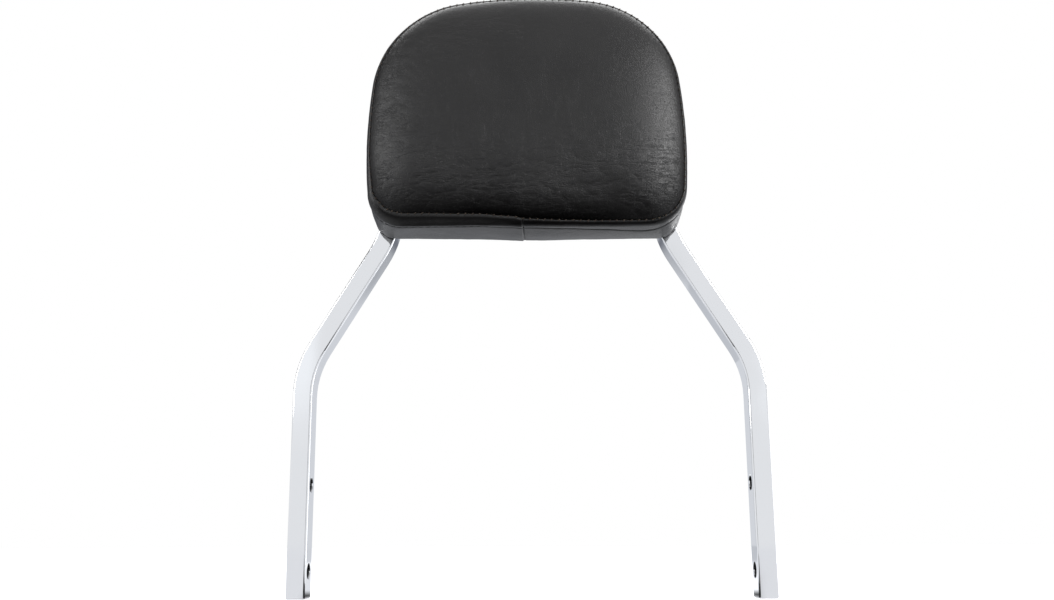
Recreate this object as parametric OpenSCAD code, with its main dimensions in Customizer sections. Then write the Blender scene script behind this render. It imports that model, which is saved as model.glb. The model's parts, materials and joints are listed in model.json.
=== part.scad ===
// Sissy bar: a chromed hoop of flat bar with a padded vinyl backrest.
// The origin is midway between the two feet, on the axis of their lower bolt holes.
// +X is across the motorcycle, +Z is up and -Y is the side that the padded front faces.

/* [Hoop] */
// Gap between the inside faces of the two feet
foot_gap = 291; // [240:1:360]
// Width of the flat bar, seen from the front
bar_w = 12.7; // [10:0.1:16]
// Depth of the flat bar, seen from the side
bar_d = 19; // [15:0.5:25]
// Radius along the four long edges of the bar
bar_edge_r = 1.2; // [0.5:0.1:3]
// Length of bar below the lower bolt holes
foot_below = 17.5; // [12:0.5:40]
// Height of the lower bends above the lower bolt holes
foot_bend_up = 133; // [110:1:200]
// Height of the upper bends above the lower bends
sweep_rise = 96; // [80:1:140]
// Lean of the sweep between the bends, from upright, in degrees
sweep_lean = 31.3; // [20:0.1:38]
// Centre-line radius of the lower bends
foot_bend_r = 63.5; // [40:0.5:90]
// Centre-line radius of the upper bends
neck_bend_r = 70; // [40:0.5:90]
// Centre-line radius of the loop's two top corners
loop_corner_r = 42; // [25:0.5:60]
// Height of the loop's top face above the lower bolt holes
loop_top_up = 366; // [340:1:420]

/* [Feet] */
// Diameter of the bolt holes
bolt_hole_d = 9.5; // [6:0.1:12]
// Distance between the two bolt holes of a foot
bolt_pitch = 56; // [30:0.5:80]
// Bevel round the mouths of the bolt holes
bolt_hole_bevel = 0.6; // [0:0.1:1.2]
// Bevel round the cut end of each foot
foot_bevel = 0.8; // [0:0.1:2]

/* [Cross straps] */
// Height of a strap's face
strap_h = 20; // [16:0.5:30]
// Thickness of a strap
strap_t = 4; // [3:0.5:6]
// Height of the lower strap's centre above the lower bolt holes
lower_strap_up = 260; // [255:1:270]
// Height of the upper strap's centre above the lower strap's centre
strap_pitch = 45; // [35:1:50]
// Leg of the fillet welds at the straps' ends
weld_leg = 3.5; // [2:0.5:4]

/* [Pad] */
// Width of the pad at its waist
pad_w = 212; // [190:1:250]
// Height of the pad
pad_h = 160; // [150:1:200]
// Height of the pad's lower edge above the lower bolt holes
pad_bottom_up = 221; // [215:0.5:228]
// Height of the widest place above the pad's lower edge
pad_waist_up = 51.5; // [40:0.5:70]
// Radius of the arc along the pad's top
pad_top_r = 350; // [250:5:600]
// Radius of the pad's two shoulders
pad_shoulder_r = 68; // [50:1:80]
// Radius of the long arcs along the pad's sides
pad_side_r = 370; // [250:5:600]
// Radius of the pad's two lower corners
pad_corner_r = 22.5; // [19:0.5:35]
// Depth of the boxing, from the bar to the front seam
boxing_d = 41; // [35:0.5:60]
// Height of the front panel's crown above the front seam
crown_h = 9; // [4:0.5:16]
// Distance from the pad's edge over which the crown rises
crown_edge = 48; // [25:1:60]
// Thickness of the vinyl with its backing
vinyl_t = 1.2; // [0.8:0.1:2]
// Width of the hem that is turned in over the base
hem_w = 18; // [14:0.5:19]
// Clearance between the cover and what it wraps
cover_gap = 0.3; // [0.2:0.05:0.5]

/* [Base and fixings] */
// Thickness of the moulded base
base_t = 6; // [4:0.5:10]
// Diameter of the bosses that stand on the straps
boss_d = 18; // [16:0.5:20]
// Sideways distance between the screws on one strap
screw_span = 110; // [80:1:140]
// Diameter of the screws
screw_d = 6; // [5:0.5:8]
// Length of the screws under the head
screw_len = 16; // [14:1:20]
// Width across the flats of the screw heads
head_af = 10; // [8:0.5:13]
// Height of the screw heads
head_h = 4; // [3:0.5:6]
// Outer diameter of the flat washers
washer_d = 14; // [12:0.5:16]
// Thickness of the flat washers
washer_t = 1.4; // [1:0.1:2]
// Outer diameter of the lock washers
lock_d = 11; // [10:0.5:13]
// Thickness of the lock washers
lock_t = 1.6; // [1.2:0.1:2]
// Outer diameter of a threaded insert's barrel
insert_d = 8; // [7.5:0.1:11]
// Diameter of a threaded insert's flange
insert_flange_d = 17; // [14:0.5:20]
// Thickness of a threaded insert's flange
insert_flange_t = 1.2; // [1:0.1:2]

/* [Staples] */
// Spacing of the staples along the hem
staple_pitch = 21; // [15:1:40]
// Distance of the staples from the pad's edge
staple_inset = 11; // [7:0.5:13]
// Length of a staple's crown
staple_crown = 10; // [6:0.5:12]
// Length of a staple's legs
staple_leg = 5; // [3:0.5:6]
// Width of the staple wire along the surface
staple_wire_w = 1.2; // [0.8:0.1:1.6]
// Thickness of the staple wire
staple_wire_t = 0.6; // [0.4:0.1:0.8]

/* [Hidden] */
$fn = 96;
quarters = [1, 2, 3, 4];

// Slack that makes a cutting tool run past the faces it cuts
past = 1;
// Swelling of the bar on each side where it is bent, and the length that a straight run laps into a bend
bend_swell = 0.03;
run_lap = 0.5;
// Steps in which the crown rises, and steps of each arc round the pad
crown_steps = 6;
arc_steps = 16;
// Running clearances of the screws
screw_hole_gap = 0.6;
thread_gap = 0.05;

// Places on the hoop
bar_front_y = -bar_d / 2;
foot_x = foot_gap / 2 + bar_w / 2;
neck_x = foot_x - sweep_rise * tan(sweep_lean);
neck_gap = 2 * neck_x - bar_w;
foot_bend_take = foot_bend_r * tan(sweep_lean / 2);
neck_bend_take = neck_bend_r * tan(sweep_lean / 2);
loop_line_z = loop_top_up - bar_w / 2;
neck_z = foot_bend_up + sweep_rise;

// The right side of the hoop from the foot to the end of the top corner.
// Each row is a straight run, then the turn inwards in degrees and its centre-line radius.
hoop_runs = [
    [foot_below + foot_bend_up - foot_bend_take, sweep_lean, foot_bend_r],
    [sweep_rise / cos(sweep_lean) - foot_bend_take - neck_bend_take, -sweep_lean, neck_bend_r],
    [loop_line_z - neck_z - neck_bend_take - loop_corner_r, 90, loop_corner_r]
];
top_run = 2 * (neck_x - loop_corner_r);

// Places on the pad, as [x, z] where they lie in its outline
pad_top_z = pad_bottom_up + pad_h;
waist_z = pad_bottom_up + pad_waist_up;
top_centre = [0, pad_top_z - pad_top_r];
side_centre = [pad_w / 2 - pad_side_r, waist_z];
shoulder = meet(top_centre, pad_top_r - pad_shoulder_r, side_centre, pad_side_r - pad_shoulder_r);
corner_z = pad_bottom_up + pad_corner_r;
corner = [side_centre[0] + leg(pad_side_r - pad_corner_r, corner_z - waist_z), corner_z];
pad_back_y = bar_front_y - bend_swell;
seam_y = pad_back_y - boxing_d;
base_back_y = pad_back_y - vinyl_t;
base_front_y = base_back_y - base_t;

// Places of the fixings: screws 1 and 2 are on the lower strap, 3 and 4 on the upper one
strap_back_y = bar_front_y + strap_t;
washer_back_y = strap_back_y + washer_t;
head_y = washer_back_y + lock_t;
function strap_z(i) = lower_strap_up + (i > 2 ? strap_pitch : 0);
function screw_place(i) = [(i % 2 == 1 ? -1 : 1) * screw_span / 2, 0, strap_z(i)];

// The other leg of a right triangle
function leg(hypotenuse, side) = sqrt(pow(hypotenuse, 2) - pow(side, 2));
function heading(from, to) = atan2(to[1] - from[1], to[0] - from[0]);
function unit(angle) = [cos(angle), sin(angle)];
// The upper crossing of two circles
function meet(a, ra, b, rb) =
    let (gap = norm(b - a), along = (pow(ra, 2) - pow(rb, 2) + pow(gap, 2)) / (2 * gap))
    let (across = leg(ra, along), dir = (b - a) / gap, side = [dir[1], -dir[0]])
    let (p = a + dir * along + side * across, q = a + dir * along - side * across)
    p[1] > q[1] ? p : q;

// The arcs of the pad's right half, each as its centre, radius, first angle and last angle
pad_arcs = [
    [corner, pad_corner_r, -90, heading(side_centre, corner)],
    [side_centre, pad_side_r, heading(side_centre, corner), heading(side_centre, shoulder)],
    [shoulder, pad_shoulder_r, heading(side_centre, shoulder), heading(top_centre, shoulder)],
    [top_centre, pad_top_r, heading(top_centre, shoulder), 90]
];

// Points in x and z round the pad, a distance inside its edge
function arc_points(arc, inset) = [
    for (k = [0 : arc_steps - 1]) arc[0] + (arc[1] - inset) * unit(arc[2] + (arc[3] - arc[2]) * k / arc_steps)
];
function pad_points(inset) =
    let (right = [for (arc = pad_arcs) each arc_points(arc, inset)], last = len(right) - 1)
    concat(right, [[0, pad_top_z - inset]], [for (k = [0 : last]) [-right[last - k][0], right[last - k][1]]]);

// A slab with the pad's outline, a distance inside its edge, between two y positions
module pad_slab(front_y, back_y, inset = 0) {
    translate([0, back_y, 0]) rotate([90, 0, 0]) linear_extrude(back_y - front_y) polygon(pad_points(inset));
}

// Turns a shape made along +Z so that it points along +Y from a given y
module facing_back(y) {
    translate([0, y, 0]) rotate([-90, 0, 0]) children();
}

module both_sides() {
    children();
    mirror([1, 0, 0]) children();
}

// Cross-section of the flat bar, with rounded edges
module bar_section(swell = 0) {
    wide = bar_w + 2 * swell;
    deep = bar_d + 2 * swell;
    edge_r = bar_edge_r + swell;
    square([wide - 2 * edge_r, deep], center = true);
    square([wide, deep - 2 * edge_r], center = true);
    for (x = [-1, 1], y = [-1, 1])
        translate([x * (wide / 2 - edge_r), y * (deep / 2 - edge_r)]) circle(edge_r);
}

// A straight run of the bar along +Z, which laps into the bend at each end that has one
module bar_run(length, lap_below, lap_above) {
    translate([0, 0, -lap_below]) linear_extrude(length + lap_below + lap_above) bar_section();
}

// Lays the runs and bends from row i on, each from where the last one ended
module bar_from(i) {
    run = hoop_runs[i][0];
    turn = hoop_runs[i][1];
    bend_r = hoop_runs[i][2];
    flip = turn < 0 ? 1 : 0;
    bar_run(run, i > 0 ? run_lap : 0, run_lap);
    translate([0, 0, run]) mirror([flip, 0, 0]) translate([-bend_r, 0, 0]) {
        rotate([90, 0, 0]) rotate_extrude(angle = abs(turn), $fn = 180)
            translate([bend_r, 0]) bar_section(bend_swell);
        if (i < len(hoop_runs) - 1)
            rotate([0, -abs(turn), 0]) translate([bend_r, 0, 0]) mirror([flip, 0, 0]) bar_from(i + 1);
    }
}

// A bolt hole through a foot along X, with a bevel at both mouths
module bolt_hole() {
    rotate([0, 90, 0]) {
        cylinder(h = bar_w + 2 * past, d = bolt_hole_d, center = true);
        for (side = [-1, 1])
            rotate([side > 0 ? 0 : 180, 0, 0]) translate([0, 0, bar_w / 2 - bolt_hole_bevel])
                cylinder(h = 2 * bolt_hole_bevel, d1 = bolt_hole_d, d2 = bolt_hole_d + 4 * bolt_hole_bevel);
    }
}

// Cuts the bevel round the end of a foot
module foot_end_bevel() {
    cut = foot_bevel * sqrt(2);
    for (side = [-1, 1]) {
        translate([side * bar_w / 2, 0, 0]) rotate([0, 45, 0]) cube([cut, 2 * bar_d, cut], center = true);
        translate([0, side * bar_d / 2, 0]) rotate([45, 0, 0]) cube([2 * bar_w, cut, cut], center = true);
    }
}

module hoop() {
    color("gainsboro") {
        both_sides() difference() {
            translate([foot_x, 0, -foot_below]) bar_from(0);
            translate([foot_x, 0, -foot_below]) foot_end_bevel();
            for (z = [0, bolt_pitch]) translate([foot_x, 0, z]) bolt_hole();
        }
        translate([-top_run / 2, 0, loop_line_z]) rotate([0, 90, 0]) bar_run(top_run, run_lap, run_lap);
    }
}

// A cross strap between the uprights, flush with the front of the bar
module strap(first_screw) {
    z = strap_z(first_screw);
    color("gainsboro") difference() {
        translate([-neck_gap / 2, bar_front_y, z - strap_h / 2]) cube([neck_gap, strap_t, strap_h]);
        for (i = [first_screw, first_screw + 1])
            translate(screw_place(i)) facing_back(bar_front_y - past)
                cylinder(h = strap_t + 2 * past, d = screw_d + screw_hole_gap);
    }
}

// A quarter-round weld in the corner behind each end of each strap
module weld_beads() {
    color("silver") both_sides() for (i = [1, 3])
        translate([neck_gap / 2, strap_back_y, strap_z(i) - strap_h / 2]) intersection() {
            cylinder(h = strap_h, r = weld_leg);
            translate([-weld_leg, 0, 0]) cube([weld_leg, weld_leg, strap_h]);
        }
}

// A ring of points at one y, drawn in towards the pad's middle by a share of its size
function pad_ring(y, inset, share) =
    let (middle = [0, pad_bottom_up + pad_h / 2])
    [for (p = pad_points(inset)) let (q = middle + (p - middle) * (1 - share)) [q[0], y, q[1]]];

// The rings of a crown that rises forwards from the seam, in a quarter of an ellipse
function crown_rings(inset) = [
    for (k = [0 : crown_steps])
        let (angle = 90 * k / crown_steps, share = crown_edge / (pad_w / 2) * (1 - cos(angle)))
        pad_ring(seam_y - (crown_h - inset) * sin(angle), inset, share)
];

// A closed solid through a list of rings of as many points each, with a flat face over each end
module loft(rings) {
    n = len(rings[0]);
    last = len(rings) - 1;
    sides = [
        for (r = [0 : last - 1], k = [0 : n - 1])
            let (a = r * n + k, b = r * n + (k + 1) % n)
            each [[a, b, b + n], [a, b + n, a + n]]
    ];
    first_face = [for (k = [n - 1 : -1 : 0]) k];
    last_face = [for (k = [0 : n - 1]) last * n + k];
    polyhedron([for (ring = rings) each ring], concat([first_face], sides, [last_face]));
}

// The moulded base, with a boss round each threaded insert
module pad_base() {
    color("dimgray") difference() {
        union() {
            pad_slab(base_front_y, base_back_y, vinyl_t + cover_gap);
            for (i = quarters) translate(screw_place(i)) facing_back(base_back_y - past)
                cylinder(h = bar_front_y - base_back_y + past, d = boss_d);
        }
        for (i = quarters) translate(screw_place(i)) facing_back(base_front_y - past)
            cylinder(h = base_t + vinyl_t + 2 * past, d = insert_d);
        staple_ring();
    }
}

// The foam, with a pocket for each insert's flange and each screw's tip
module foam_core() {
    foam_inset = vinyl_t + cover_gap;
    tip_pocket = screw_len - (head_y - base_front_y) + past;
    color("khaki") difference() {
        loft(concat([pad_ring(base_front_y, foam_inset, 0)], crown_rings(foam_inset)));
        for (i = quarters) translate(screw_place(i)) rotate([90, 0, 0]) translate([0, 0, -base_front_y - past]) {
            cylinder(h = insert_flange_t + cover_gap + past, d = insert_flange_d + 2 * cover_gap);
            cylinder(h = max(tip_pocket, 0) + insert_flange_t + past, d = screw_d + 2 * cover_gap);
        }
    }
}

// The side strip of the cover with its hem turned in over the back of the base
module boxing() {
    color("dimgray") difference() {
        pad_slab(seam_y, pad_back_y);
        pad_slab(seam_y - past, base_back_y, vinyl_t);
        pad_slab(base_back_y - past, pad_back_y + past, hem_w);
        staple_ring();
    }
}

// The front of the cover, domed over the foam
module front_panel() {
    inner = crown_rings(vinyl_t);
    color("#333333") loft(concat([for (k = [len(inner) - 1 : -1 : 0]) inner[k]], crown_rings(0)));
}

// A staple with its crown flush with the hem and its legs in the base
module staple() {
    translate([-staple_crown / 2, -staple_wire_t, -staple_wire_w / 2])
        cube([staple_crown, staple_wire_t, staple_wire_w]);
    for (side = [-1, 1])
        translate([side * (staple_crown - staple_wire_t) / 2, -staple_leg / 2, 0])
            cube([staple_wire_t, staple_leg, staple_wire_w], center = true);
}

// Staples along the straight lower edge, and along each arc of the outline
module staple_ring() {
    along_bottom = max(1, round(corner[0] / staple_pitch));
    both_sides() translate([0, pad_back_y, 0]) {
        for (k = [0.5 : along_bottom])
            translate([k * corner[0] / along_bottom, 0, pad_bottom_up + staple_inset]) staple();
        for (arc = pad_arcs) {
            radius = arc[1] - staple_inset;
            sweep = arc[3] - arc[2];
            count = max(1, round(radius * sweep * PI / 180 / staple_pitch));
            for (k = [0.5 : count]) {
                angle = arc[2] + sweep * k / count;
                spot = arc[0] + radius * unit(angle);
                translate([spot[0], 0, spot[1]]) rotate([0, 90 - angle, 0]) staple();
            }
        }
    }
}

module staples() {
    color("silver") staple_ring();
}

// A threaded insert, with its flange on the foam side of the base
module t_nut(i) {
    color("lightgray") translate(screw_place(i)) facing_back(base_front_y) difference() {
        union() {
            cylinder(h = base_t + vinyl_t - past, d = insert_d);
            translate([0, 0, -insert_flange_t]) cylinder(h = insert_flange_t, d = insert_flange_d);
        }
        translate([0, 0, -insert_flange_t - past])
            cylinder(h = base_t + vinyl_t + insert_flange_t + 2 * past, d = screw_d + 2 * thread_gap);
    }
}

// A hexagon screw, its head chamfered at the top and its tip chamfered at the end
module pad_screw(i) {
    tip = screw_d / 8;
    across_corners = head_af / cos(30);
    color("silver") translate(screw_place(i)) facing_back(head_y) {
        intersection() {
            cylinder(h = head_h, d = across_corners, $fn = 6);
            cylinder(h = head_h, d1 = head_af + 2 * head_h, d2 = head_af * 0.95);
        }
        translate([0, 0, tip - screw_len]) cylinder(h = screw_len - tip, d = screw_d);
        translate([0, 0, -screw_len]) cylinder(h = tip, d1 = screw_d - 2 * tip, d2 = screw_d);
    }
}

// A split spring washer
module lock_washer(i) {
    split = 1;
    color("silver") translate(screw_place(i)) facing_back(washer_back_y) difference() {
        cylinder(h = lock_t, d = lock_d);
        translate([0, 0, -past]) cylinder(h = lock_t + 2 * past, d = screw_d + screw_hole_gap);
        translate([0, 0, lock_t / 2]) rotate([30, 0, 0])
            translate([0, -split / 2, -lock_t * 2]) cube([lock_d, split, lock_t * 4]);
    }
}

module flat_washer(i) {
    color("silver") translate(screw_place(i)) facing_back(strap_back_y) difference() {
        cylinder(h = washer_t, d = washer_d);
        translate([0, 0, -past]) cylinder(h = washer_t + 2 * past, d = screw_d + screw_hole_gap);
    }
}

hoop();
strap(3);  // upper_strap
strap(1);  // lower_strap
weld_beads();
pad_base();
foam_core();
boxing();
front_panel();
staples();
for (i = quarters) t_nut(i);
for (i = quarters) pad_screw(i);
for (i = quarters) lock_washer(i);
for (i = quarters) flat_washer(i);
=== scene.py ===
# Looks of a sissy bar: polished chrome hoop, and a sewn black vinyl pad over a foam core.
import json
import math
import random

import bmesh
import bpy
import numpy as np
from mathutils import Matrix, Vector, kdtree, noise


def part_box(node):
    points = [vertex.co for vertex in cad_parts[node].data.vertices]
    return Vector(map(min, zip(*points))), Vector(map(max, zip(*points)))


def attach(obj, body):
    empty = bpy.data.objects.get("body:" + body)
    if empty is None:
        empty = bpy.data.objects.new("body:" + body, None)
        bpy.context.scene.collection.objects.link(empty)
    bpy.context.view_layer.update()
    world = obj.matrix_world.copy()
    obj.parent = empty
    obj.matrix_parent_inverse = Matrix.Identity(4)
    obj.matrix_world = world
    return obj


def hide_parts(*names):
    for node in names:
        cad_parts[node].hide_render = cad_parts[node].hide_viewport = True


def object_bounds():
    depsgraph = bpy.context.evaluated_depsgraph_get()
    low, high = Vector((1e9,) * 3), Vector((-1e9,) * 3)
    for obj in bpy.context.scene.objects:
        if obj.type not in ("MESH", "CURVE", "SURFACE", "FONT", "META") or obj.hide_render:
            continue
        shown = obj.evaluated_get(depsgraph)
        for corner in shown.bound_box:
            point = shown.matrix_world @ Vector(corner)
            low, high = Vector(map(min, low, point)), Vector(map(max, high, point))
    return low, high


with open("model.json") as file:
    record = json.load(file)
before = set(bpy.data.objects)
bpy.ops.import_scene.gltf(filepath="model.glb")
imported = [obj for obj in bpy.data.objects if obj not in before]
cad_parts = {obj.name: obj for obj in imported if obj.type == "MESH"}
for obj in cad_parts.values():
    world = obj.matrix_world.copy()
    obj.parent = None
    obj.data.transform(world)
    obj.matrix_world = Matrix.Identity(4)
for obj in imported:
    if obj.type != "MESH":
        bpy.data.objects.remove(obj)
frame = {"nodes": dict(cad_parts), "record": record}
cad_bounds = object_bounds()
MM = 0.001

# The photograph's frame and the camera that fits it: pixels, millimetres and degrees, and metres for the
# nearest place that it sees
PHOTO_W = 1054
FOCAL_PX = 1090
OPTICAL_X = 503.1
CAMERA_AT = (6.2, -732.2, 16.9)
CAMERA_PITCH = 12.63
CAMERA_YAW = -1.82
CAMERA_ROLL = -0.22
SENSOR_W = 36.0
CAMERA_NEAR = 0.01

# The pad's outline, in millimetres: the radii of its arcs from the top to the lower corners, and the height
# of its widest place over its bottom
PAD_TOP_R = 350
PAD_SHOULDER_R = 68
PAD_SIDE_R = 370
BACK_CORNER_R = 15
FRONT_CORNER_R = 25
PAD_WAIST_UP = 51.5
# Its cover, in millimetres: the groove and lip at the front seam, the hem behind and the crown in front
VINYL_T = 1.2
GROOVE_DEEP = 1.3
GROOVE_W = 0.5
LIP_W = 0.35
HEM_W = 18
HEM_SINK = 0.35
CROWN_EDGE = 56
CROWN_MORE = 3.0
STITCH_PITCH = 4.7

box_lo, box_hi = (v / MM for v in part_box("boxing"))
PAD_W = box_hi.x - box_lo.x
PAD_BOTTOM = box_lo.z
PAD_TOP = box_hi.z
PAD_H = PAD_TOP - PAD_BOTTOM
SEAM_Y = box_lo.y
BACK_Y = box_hi.y - HEM_SINK
CROWN_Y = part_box("front_panel")[0].y / MM
MIDDLE = np.array([0.0, (PAD_BOTTOM + PAD_TOP) / 2])


# Camera
def make_camera():
    yaw, pitch, roll = (math.radians(a) for a in (CAMERA_YAW, CAMERA_PITCH, CAMERA_ROLL))
    ahead = Vector((math.sin(yaw) * math.cos(pitch), math.cos(yaw) * math.cos(pitch), math.sin(pitch)))
    level = ahead.cross(Vector((0, 0, 1))).normalized()
    above = level.cross(ahead)
    right = level * math.cos(roll) + above * math.sin(roll)
    up = above * math.cos(roll) - level * math.sin(roll)
    data = bpy.data.cameras.new("photo_camera")
    data.sensor_width = SENSOR_W
    data.lens = FOCAL_PX / PHOTO_W * SENSOR_W
    data.shift_x = (PHOTO_W / 2 - OPTICAL_X) / PHOTO_W
    data.clip_start = CAMERA_NEAR
    camera = bpy.data.objects.new("photo_camera", data)
    turn = Matrix((right, up, -ahead)).transposed().to_4x4()
    camera.matrix_world = Matrix.Translation(Vector(CAMERA_AT) * MM) @ turn
    bpy.context.scene.collection.objects.link(camera)
    bpy.context.scene.camera = camera


# Node helpers
class Nodes:
    """A short way to add nodes to a material or world and to link them."""

    def __init__(self, tree):
        self.tree = tree
        tree.nodes.clear()

    def add(self, kind, inputs=None, **settings):
        node = self.tree.nodes.new(kind)
        for name, value in settings.items():
            setattr(node, name, value)
        for name, value in (inputs or {}).items():
            socket = node.inputs[name]
            if isinstance(value, bpy.types.NodeSocket):
                self.tree.links.new(value, socket)
            else:
                socket.default_value = value
        return node

    def math(self, operation, a, b=0.0):
        return self.add("ShaderNodeMath", {0: a, 1: b}, operation=operation).outputs[0]

    def remap(self, value, from_lo, from_hi, to_lo=0.0, to_hi=1.0):
        inputs = {"Value": value, "From Min": from_lo, "From Max": from_hi, "To Min": to_lo, "To Max": to_hi}
        return self.add("ShaderNodeMapRange", inputs, interpolation_type="SMOOTHSTEP").outputs[0]

    def mix(self, factor, a, b):
        node = self.add("ShaderNodeMix", {"Factor": factor}, data_type="RGBA")
        for socket, value in ((node.inputs[6], a), (node.inputs[7], b)):
            if isinstance(value, bpy.types.NodeSocket):
                self.tree.links.new(value, socket)
            else:
                socket.default_value = (*value, 1.0)
        return node.outputs[2]

    def noise(self, where, scale, detail=2.0, roughness=0.5, distortion=0.0):
        inputs = {"Vector": where, "Scale": scale, "Detail": detail, "Roughness": roughness,
                  "Distortion": distortion}
        return self.add("ShaderNodeTexNoise", inputs).outputs["Fac"]

    def bump(self, height, strength, distance, normal=None):
        inputs = {"Height": height, "Strength": strength, "Distance": distance}
        if normal is not None:
            inputs["Normal"] = normal
        return self.add("ShaderNodeBump", inputs).outputs[0]


def new_material(name):
    material = bpy.data.materials.new(name)
    material.use_nodes = True
    return material, Nodes(material.node_tree)


def finish_material(nodes, shader):
    nodes.add("ShaderNodeOutputMaterial", {"Surface": shader.outputs[0]})


def object_place(nodes):
    return nodes.add("ShaderNodeTexCoord").outputs["Object"]


# Materials: colours from dark to light, and roughness from its least to its most
CHROME_COLOUR = (0.93, 0.94, 0.955, 1)
CHROME_ROUGH = (0.035, 0.085)
ZINC_DARK = (0.55, 0.56, 0.58)
ZINC_LIGHT = (0.70, 0.70, 0.70)
ZINC_ROUGH = (0.22, 0.42)
PLASTIC_DARK = (0.018, 0.018, 0.019)
PLASTIC_LIGHT = (0.032, 0.032, 0.033)
PLASTIC_ROUGH = (0.45, 0.65)
FOAM_DARK = (0.46, 0.42, 0.30)
FOAM_LIGHT = (0.56, 0.52, 0.38)
FOAM_ROUGH = 0.9
THREAD_ROUGH = 0.6
# Their noise, by its scale in cells per metre, its detail and its own roughness
CHROME_HAZE = (35, 4)
CHROME_SWIRL = (900, 3, 0.6)
CHROME_RIPPLE = (24, 1)
ZINC_MOTTLE = (420, 4, 0.6)
ZINC_GRAIN = (2600, 2)
PLASTIC_TONE = (60, 3)
PLASTIC_GRAIN = (1500, 3, 0.6)
FOAM_TONE = (50, 3)
FOAM_CELLS = 1400.0
THREAD_TWIST = 900.0
THREAD_BEND = 2.0
# Their bumps, by strength and depth in metres
CHROME_SWIRL_BUMP = (0.02, 0.0001)
CHROME_RIPPLE_BUMP = (0.06, 0.002)
ZINC_BUMP = (0.15, 0.0001)
PLASTIC_BUMP = (0.35, 0.0002)
FOAM_BUMP = (0.6, 0.0004)
THREAD_BUMP = (0.5, 0.0001)
# The part of a noise's values that a change of colour or roughness is spread over
NOISE_MIDDLE = (0.3, 0.7)
NOISE_MOST = (0.2, 0.8)
NOISE_UPPER = (0.35, 0.75)


def chrome_material():
    material, n = new_material("polished_chrome")
    place = object_place(n)
    haze = n.remap(n.noise(place, *CHROME_HAZE), *NOISE_UPPER, *CHROME_ROUGH)
    swirl = n.noise(place, *CHROME_SWIRL)
    ripple = n.noise(place, *CHROME_RIPPLE)
    bumped = n.bump(ripple, *CHROME_RIPPLE_BUMP, n.bump(swirl, *CHROME_SWIRL_BUMP))
    shader = n.add("ShaderNodeBsdfPrincipled", {
        "Base Color": CHROME_COLOUR, "Metallic": 1.0, "Roughness": haze, "Normal": bumped})
    finish_material(n, shader)
    return material


def zinc_material():
    material, n = new_material("bright_zinc")
    place = object_place(n)
    mottle = n.noise(place, *ZINC_MOTTLE)
    colour = n.mix(n.remap(mottle, *NOISE_MIDDLE), ZINC_DARK, ZINC_LIGHT)
    shader = n.add("ShaderNodeBsdfPrincipled", {
        "Base Color": colour, "Metallic": 1.0, "Roughness": n.remap(mottle, *NOISE_MOST, *ZINC_ROUGH),
        "Normal": n.bump(n.noise(place, *ZINC_GRAIN), *ZINC_BUMP)})
    finish_material(n, shader)
    return material


def plastic_material():
    material, n = new_material("moulded_black_plastic")
    place = object_place(n)
    grain = n.noise(place, *PLASTIC_GRAIN)
    shader = n.add("ShaderNodeBsdfPrincipled", {
        "Base Color": n.mix(n.noise(place, *PLASTIC_TONE), PLASTIC_DARK, PLASTIC_LIGHT),
        "Roughness": n.remap(grain, *NOISE_MOST, *PLASTIC_ROUGH), "Normal": n.bump(grain, *PLASTIC_BUMP)})
    finish_material(n, shader)
    return material


# The vinyl's grain: noise scales in cells per metre and depths in metres
WARP_SCALE = 220.0
WARP_DETAIL = 2.0
WARP_REACH = 0.0016
PEBBLE_SCALE = 1050.0
PEBBLE_EDGE = 0.25
PEBBLE_SHARE = 0.55
PORES = (2600, 3, 0.65)
PORE_SHARE = 0.45
GRAIN_STRENGTH = 0.40
GRAIN_DEEP = 0.00018
# Its creases across and upwards, and how the noise that draws them is stretched along X, Y and Z
CREASE_STRETCH = {"creased_across": (0.27, 1, 1.25), "creased_up": (1.2, 1, 0.35)}
# The scale, width and depth of its coarse and fine creases, and the detail, roughness and distortion of both
CREASE_SIZES = ((150, 0.032, 0.00019), (400, 0.05, 0.00007))
CREASE_NOISE = (4, 0.58, 0.7)
CREASE_STRENGTH = 0.8
# The patches in which they come and go, and how weak they are between them
CREASE_PATCHES = (32, 3)
PATCH_RANGE = (0.30, 0.66)
PATCH_LEAST = 0.25
# Its tone and gloss, and the colour of the painted shade that darkens it under the front edge and along the
# bottom seam
VINYL_TONE = (28, 4, 0.6)
GLOSS_SHARE = 0.5
GLOSS_RANGE = (0.25, 0.75)
VINYL_DARK = (0.0034, 0.0030, 0.0030)
VINYL_LIGHT = (0.0055, 0.0050, 0.0049)
VINYL_PAINTED_SHADE = (0.0010, 0.0009, 0.0009)
VINYL_ROUGH = (0.33, 0.43)
VINYL_SPECULAR = 0.5


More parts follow.
